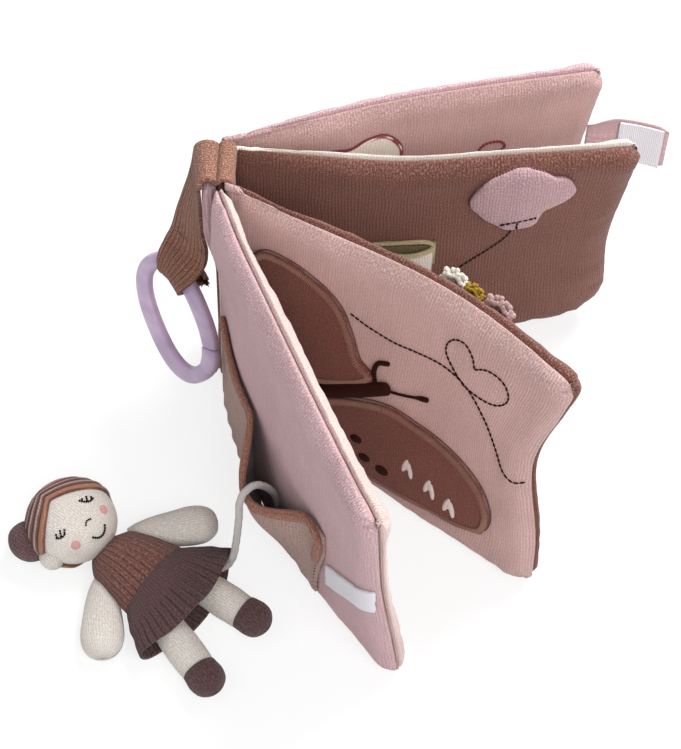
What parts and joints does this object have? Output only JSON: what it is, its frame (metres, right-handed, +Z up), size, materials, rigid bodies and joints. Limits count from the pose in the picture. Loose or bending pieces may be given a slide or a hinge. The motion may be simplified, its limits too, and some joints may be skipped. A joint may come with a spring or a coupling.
{
  "type": "cloth book with doll",
  "caption": "Soft padded book that stands half open, with turning leaves, a cover pocket, a link ring on a strap and a small doll on a cord.",
  "frame": {"origin": "the foot of the spine, on the floor that the book stands on, midway between the two sewn folds", "axes": "+Z up along the spine; +X away from the spine towards the leaves' fore edges; +Y towards the back cover's side"},
  "size_m": [0.2758, 0.2525, 0.1285],
  "materials": {
    "spine_cover": "knitted cloth",
    "spine_lining": "knitted cloth",
    "front_fold_seam": "knitted cloth",
    "back_fold_seam": "knitted cloth",
    "strap_top": "knitted cloth",
    "first_page_front_panel": "knitted cloth",
    "first_page_back_panel": "knitted cloth",
    "first_page_wadding": "wadding fibre",
    "butterfly_upper_wing": "knitted cloth",
    "butterfly_lower_wing": "knitted cloth",
    "butterfly_body": "knitted cloth",
    "white_flower": "knitted cloth",
    "yellow_flower": "knitted cloth",
    "pink_flower": "knitted cloth",
    "front_cover_outer_panel": "knitted cloth",
    "front_cover_lining_panel": "knitted cloth",
    "front_cover_wadding": "wadding fibre",
    "cover_pocket_panel": "knitted cloth",
    "cover_pocket_binding": "knitted cloth",
    "hook_strip": "knitted cloth",
    "second_page_front_panel": "knitted cloth",
    "second_page_back_panel": "knitted cloth",
    "second_page_wadding": "wadding fibre",
    "balloon": "knitted cloth",
    "page_pocket_panel": "knitted cloth",
    "page_pocket_binding": "knitted cloth",
    "back_cover_lining_panel": "knitted cloth",
    "back_cover_outer_panel": "knitted cloth",
    "back_cover_wadding": "wadding fibre",
    "cloud": "knitted cloth",
    "closing_tab": "knitted cloth",
    "tab_hook_patch": "knitted cloth",
    "strap_loop": "knitted cloth",
    "link_ring": "smooth satin",
    "doll_torso": "knitted cloth",
    "doll_skirt": "knitted cloth",
    "doll_tether": "knitted cloth",
    "doll_head": "knitted cloth",
    "doll_hair": "knitted cloth",
    "doll_bun": "knitted cloth",
    "doll_right_arm": "knitted cloth",
    "doll_left_arm": "knitted cloth",
    "doll_right_leg": "knitted cloth",
    "doll_right_shoe": "knitted cloth",
    "doll_left_leg": "knitted cloth",
    "doll_left_shoe": "knitted cloth"
  },
  "bodies": {
    "spine": {"spine_cover": "spine_cover", "spine_lining": "spine_lining", "front_fold_seam": "front_fold_seam", "back_fold_seam": "back_fold_seam", "strap_top": "strap_top"},
    "first_page": {"first_page_front_panel": "first_page_front_panel", "first_page_back_panel": "first_page_back_panel", "first_page_wadding": "first_page_wadding", "butterfly_upper_wing": "butterfly_upper_wing", "butterfly_lower_wing": "butterfly_lower_wing", "butterfly_body": "butterfly_body", "white_flower": "white_flower", "yellow_flower": "yellow_flower", "pink_flower": "pink_flower"},
    "front_cover": {"front_cover_outer_panel": "front_cover_outer_panel", "front_cover_lining_panel": "front_cover_lining_panel", "front_cover_wadding": "front_cover_wadding", "cover_pocket_panel": "cover_pocket_panel", "cover_pocket_binding": "cover_pocket_binding", "hook_strip": "hook_strip"},
    "second_page": {"second_page_front_panel": "second_page_front_panel", "second_page_back_panel": "second_page_back_panel", "second_page_wadding": "second_page_wadding", "balloon": "balloon", "page_pocket_panel": "page_pocket_panel", "page_pocket_binding": "page_pocket_binding"},
    "back_cover": {"back_cover_lining_panel": "back_cover_lining_panel", "back_cover_outer_panel": "back_cover_outer_panel", "back_cover_wadding": "back_cover_wadding", "cloud": "cloud"},
    "tab": {"closing_tab": "closing_tab", "tab_hook_patch": "tab_hook_patch"},
    "strap_loop": {"strap_loop": "strap_loop"},
    "link_ring": {"link_ring": "link_ring"},
    "doll": {"doll_torso": "doll_torso", "doll_skirt": "doll_skirt", "doll_tether": "doll_tether"},
    "doll_head": {"doll_head": "doll_head", "doll_hair": "doll_hair", "doll_bun": "doll_bun"},
    "doll_right_arm": {"doll_right_arm": "doll_right_arm"},
    "doll_left_arm": {"doll_left_arm": "doll_left_arm"},
    "doll_right_leg": {"doll_right_leg": "doll_right_leg", "doll_right_shoe": "doll_right_shoe"},
    "doll_left_leg": {"doll_left_leg": "doll_left_leg", "doll_left_shoe": "doll_left_shoe"}
  },
  "joints": [
    {"name": "first_page_hinge", "type": "hinge", "parent": "spine", "child": "first_page", "pos_m": [-0.0002, -0.01335, 0], "axis": [0, 0, 1], "range_deg": [-4, 29]},
    {"name": "front_cover_hinge", "type": "hinge", "parent": "first_page", "child": "front_cover", "pos_m": [-0.0002, -0.01335, 0], "axis": [0, 0, 1], "range_deg": [-17, 19]},
    {"name": "second_page_hinge", "type": "hinge", "parent": "spine", "child": "second_page", "pos_m": [-0.0001, 0.0132, 0], "axis": [0, 0, 1], "range_deg": [-4, 52]},
    {"name": "back_cover_hinge", "type": "hinge", "parent": "second_page", "child": "back_cover", "pos_m": [-0.0001, 0.0132, 0], "axis": [0, 0, 1], "range_deg": [-10, 40]},
    {"name": "closing_tab_hinge", "type": "hinge", "parent": "back_cover", "child": "tab", "pos_m": [0.15467, 0.0682, 0.075], "axis": [0, 0, 1], "range_deg": [-40, 25]},
    {"name": "strap_loop_hinge", "type": "hinge", "parent": "spine", "child": "strap_loop", "pos_m": [-0.012, 0, 0], "axis": [0, 0, 1], "range_deg": [-10, 11]},
    {"name": "link_ring_hinge", "type": "hinge", "parent": "strap_loop", "child": "link_ring", "pos_m": [-0.02041, -0.0053, 0.06165], "axis": [0.6461, -0.7198, -0.2539], "range_deg": [-24, 0]},
    {"name": "doll_hinge", "type": "hinge", "parent": "front_cover", "child": "doll", "pos_m": [0.016, -0.105, 0], "axis": [0, 0, 1], "range_deg": [-20, 4]},
    {"name": "doll_head_hinge", "type": "hinge", "parent": "doll", "child": "doll_head", "pos_m": [-0.04421, -0.11245, 0], "axis": [0, 0, 1], "range_deg": [-6, 6]},
    {"name": "doll_right_arm_hinge", "type": "hinge", "parent": "doll", "child": "doll_right_arm", "pos_m": [-0.03154, -0.10171, 0], "axis": [0, 0, 1], "range_deg": [-12, 12]},
    {"name": "doll_left_arm_hinge", "type": "hinge", "parent": "doll", "child": "doll_left_arm", "pos_m": [-0.045, -0.12882, 0], "axis": [0, 0, 1], "range_deg": [-12, 12]},
    {"name": "doll_right_leg_hinge", "type": "hinge", "parent": "doll", "child": "doll_right_leg", "pos_m": [-0.01029, -0.12207, 0], "axis": [0, 0, 1], "range_deg": [-8, 8]},
    {"name": "doll_left_leg_hinge", "type": "hinge", "parent": "doll", "child": "doll_left_leg", "pos_m": [-0.02011, -0.14199, 0], "axis": [0, 0, 1], "range_deg": [-8, 8]}
  ],
  "couplings": [
    {"joint": "strap_loop_hinge", "follows": "front_cover_hinge", "ratio": 0.55}
  ]
}
